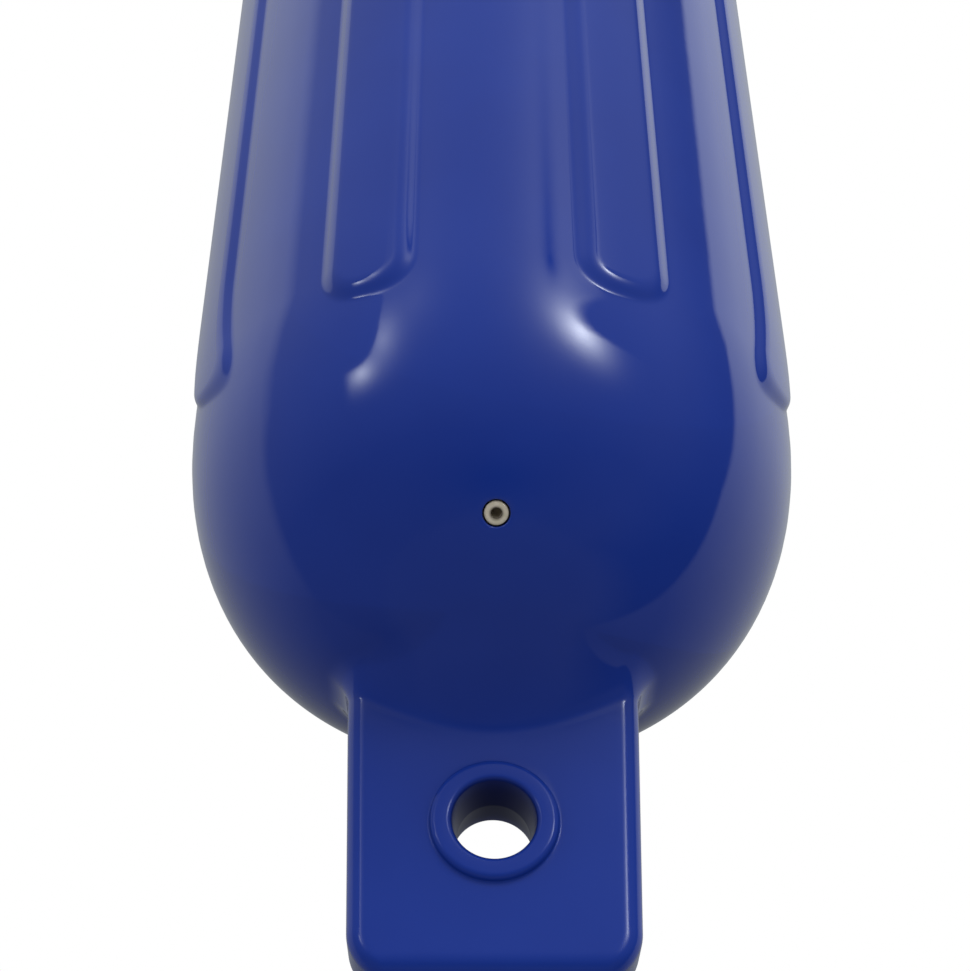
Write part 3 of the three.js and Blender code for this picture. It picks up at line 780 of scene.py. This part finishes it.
# The room in front: a ceiling that dims on the right and towards the back, the dark place that the camera
# stands in, and a little light from straight below
ceiling = world_slope(elevation, radians(-20), radians(54.5), 0.14, 0.52)
ceiling = world_math("MULTIPLY", ceiling, world_ramp(azimuth, radians(56), radians(92), 1, 0.3))
ceiling = world_math("MULTIPLY", ceiling, world_ramp(azimuth, radians(-180), radians(-110), 0.3, 1))
dark_place = world_math("SUBTRACT", 1, glow(1, -40, 27, 14, 0.88))
ceiling = world_math("MULTIPLY", ceiling, dark_place)
ceiling = world_math("MAXIMUM", ceiling, world_slope(elevation, radians(-60), radians(-42), 0.16, 0))

# Two soft lamps, left and right, each with a wide haze of light round it and the dark back of its head
lamp_left = glow(-45.8, 11, 4.1, 3.7, 7.3)
lamp_left = world_math("MULTIPLY", lamp_left, world_ramp(azimuth, radians(-53.5), radians(-49.5), 0, 1))
haze_left = world_add(glow(-38.2, 20.2, 5.2, 7.2, 3.4), glow(-27.5, 31, 8, 10.7, 0.5))
lamp_left = world_add(lamp_left, haze_left)
lamp_right = world_add(glow(29.9, 20.8, 7.2, 4.7, 15.5, -39.7), glow(24.4, 31, 11.4, 15.2, 1.8))
backs = world_math("MULTIPLY", lamp_back(90, 26.7, 60.8, 11, 2.3),
                   lamp_back(-54.3, 38.4, 14.9, 25.4, 3.6))
lamps = world_math("MULTIPLY", world_add(lamp_left, lamp_right), backs)
lamp_stand = world_math("SUBTRACT", 1, glow(21.8, 42.5, 2.7, 6, 0.9))
room = world_math("MULTIPLY", world_add(world_math("MAXIMUM", behind, ceiling), lamps), lamp_stand)

# The soft light that the fender is lit by comes from all round, and less from below.
fill = world_math("MULTIPLY", world_slope(upward, -1, 1, 0.53, 1.06),
                  world_slope(depth, -0.2, 1, 1, 1.5))

paths = nodes.new("ShaderNodeLightPath")
mirrored = nodes.new("ShaderNodeMix")
mirrored.data_type = "FLOAT"
links.new(paths.outputs["Is Glossy Ray"], mirrored.inputs["Factor"])
links.new(fill, mirrored.inputs["A"])
links.new(room, mirrored.inputs["B"])
seen = nodes.new("ShaderNodeMix")
seen.data_type = "FLOAT"
links.new(paths.outputs["Is Camera Ray"], seen.inputs["Factor"])
links.new(mirrored.outputs["Result"], seen.inputs["A"])
seen.inputs["B"].default_value = 1
daylight = nodes.new("ShaderNodeMix")
daylight.data_type = "RGBA"
daylight.inputs["A"].default_value = (0.95, 1, 1.06, 1)
daylight.inputs["B"].default_value = (1, 1, 1, 1)
links.new(paths.outputs["Is Camera Ray"], daylight.inputs["Factor"])
backdrop = nodes.new("ShaderNodeBackground")
links.new(daylight.outputs["Result"], backdrop.inputs["Color"])
links.new(seen.outputs["Result"], backdrop.inputs["Strength"])
surround = nodes.new("ShaderNodeOutputWorld")
links.new(backdrop.outputs["Background"], surround.inputs["Surface"])

# A soft key light in front and above, aimed at the lower half
KEY_SIZE, KEY_DISTANCE, KEY_AIM_HEIGHT = 0.5, 0.85, -0.12
lamp = bpy.data.lights.new("soft_key", "AREA")
lamp.shape = "RECTANGLE"
lamp.size = KEY_SIZE
lamp.size_y = KEY_SIZE
lamp.energy = 3.3
lamp_object = bpy.data.objects.new("soft_key", lamp)
key_way = Vector((0.25, -1, 0.75)).normalized()
lamp_object.location = Vector((0, 0, KEY_AIM_HEIGHT)) + key_way * KEY_DISTANCE
lamp_object.rotation_euler = key_way.to_track_quat("Z", "Y").to_euler()
lamp_object.visible_glossy = False
bpy.context.scene.collection.objects.link(lamp_object)


# The camera looks up at the lower end from close by, as the photograph does.
camera = bpy.data.cameras.new("camera")
camera.lens = 64.17
camera.sensor_width = 36
camera.sensor_fit = "HORIZONTAL"
camera.clip_start = 0.01
camera_object = bpy.data.objects.new("camera", camera)
yaw, pitch, roll = radians(0.76), radians(36.82), radians(-0.17)
forward = Vector((sin(yaw) * cos(pitch), cos(yaw) * cos(pitch), sin(pitch)))
level_right = Vector((cos(yaw), -sin(yaw), 0))
level_up = level_right.cross(forward)
right_way = level_right * cos(roll) + level_up * sin(roll)
up_way = level_up * cos(roll) - level_right * sin(roll)
turn_matrix = Matrix((right_way, up_way, -forward)).transposed().to_4x4()
camera_place = (-0.00573, -0.31791, -0.3744)
camera_object.matrix_world = Matrix.Translation(camera_place) @ turn_matrix
bpy.context.scene.collection.objects.link(camera_object)
bpy.context.scene.camera = camera_object

bpy.context.scene.view_settings.view_transform = "Standard"
